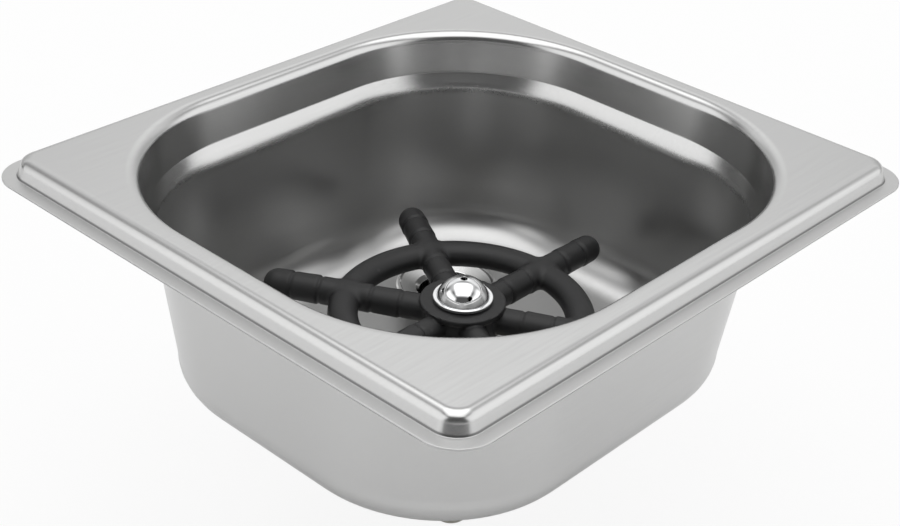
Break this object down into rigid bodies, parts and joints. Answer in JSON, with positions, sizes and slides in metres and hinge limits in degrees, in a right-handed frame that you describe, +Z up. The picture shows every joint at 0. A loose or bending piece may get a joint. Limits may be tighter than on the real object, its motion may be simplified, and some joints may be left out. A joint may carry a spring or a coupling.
{
  "type": "glass rinser",
  "caption": "Press-down glass rinser: a spoked wheel round a domed spray nozzle opens a spring valve in a drawn steel pan with an offset drain.",
  "frame": {"origin": "middle of the pan in plan, on the underside of its lip, the plane that rests on a worktop", "axes": "+Z up, X along the pan's short side, Y along its long side"},
  "size_m": [0.162, 0.176, 0.1144],
  "materials": {
    "pan_steel": "satin drawn stainless steel",
    "drain_steel": "polished stainless steel",
    "nozzle_chrome": "mirror plating",
    "wheel_black": "matt black moulding",
    "plated_brass": "nickel plating on brass",
    "raw_brass": "turned",
    "stem_steel": "turned stainless steel",
    "spring_steel": "drawn wire",
    "seal_rubber": "smooth rubber",
    "washer_fibre": "pressed fibre",
    "bush_plastic": "white bearing plastic"
  },
  "bodies": {
    "housing": {"pan": "pan_steel", "valve_body": "plated_brass", "body_nut": "plated_brass", "drain_nut": "plated_brass", "inlet_fitting": "plated_brass", "drain_flange": "drain_steel", "seat_insert": "raw_brass", "body_slip_washer": "stem_steel", "inlet_filter": "stem_steel", "return_spring": "spring_steel", "guide_bush": "bush_plastic", "stem_seal": "seal_rubber", "seat_seal": "seal_rubber", "body_gasket": "seal_rubber", "drain_gasket": "seal_rubber", "inlet_washer": "seal_rubber", "body_fibre_washer": "washer_fibre", "drain_fibre_washer": "washer_fibre"},
    "plunger": {"stem": "stem_steel", "stem_clip": "spring_steel", "spring_seat": "stem_steel", "poppet_seal": "seal_rubber", "poppet": "raw_brass", "poppet_nut": "stem_steel", "spray_nozzle": "nozzle_chrome", "nozzle_seal": "seal_rubber", "wheel_washer": "bush_plastic"},
    "wheel": {"star_wheel": "wheel_black"}
  },
  "joints": [
    {"name": "press", "type": "slide", "parent": "housing", "child": "plunger", "axis": [0, 0, -1], "range_m": [0, 0.0045], "stiffness_N_per_m": 1500, "springref_m": -0.008, "deforming": ["return_spring"]},
    {"name": "wheel_turn", "type": "hinge", "parent": "plunger", "child": "wheel", "pos_m": [0.0032, 0, -0.04025], "axis": [0, 0, 1], "range_deg": [-8, 8]}
  ]
}
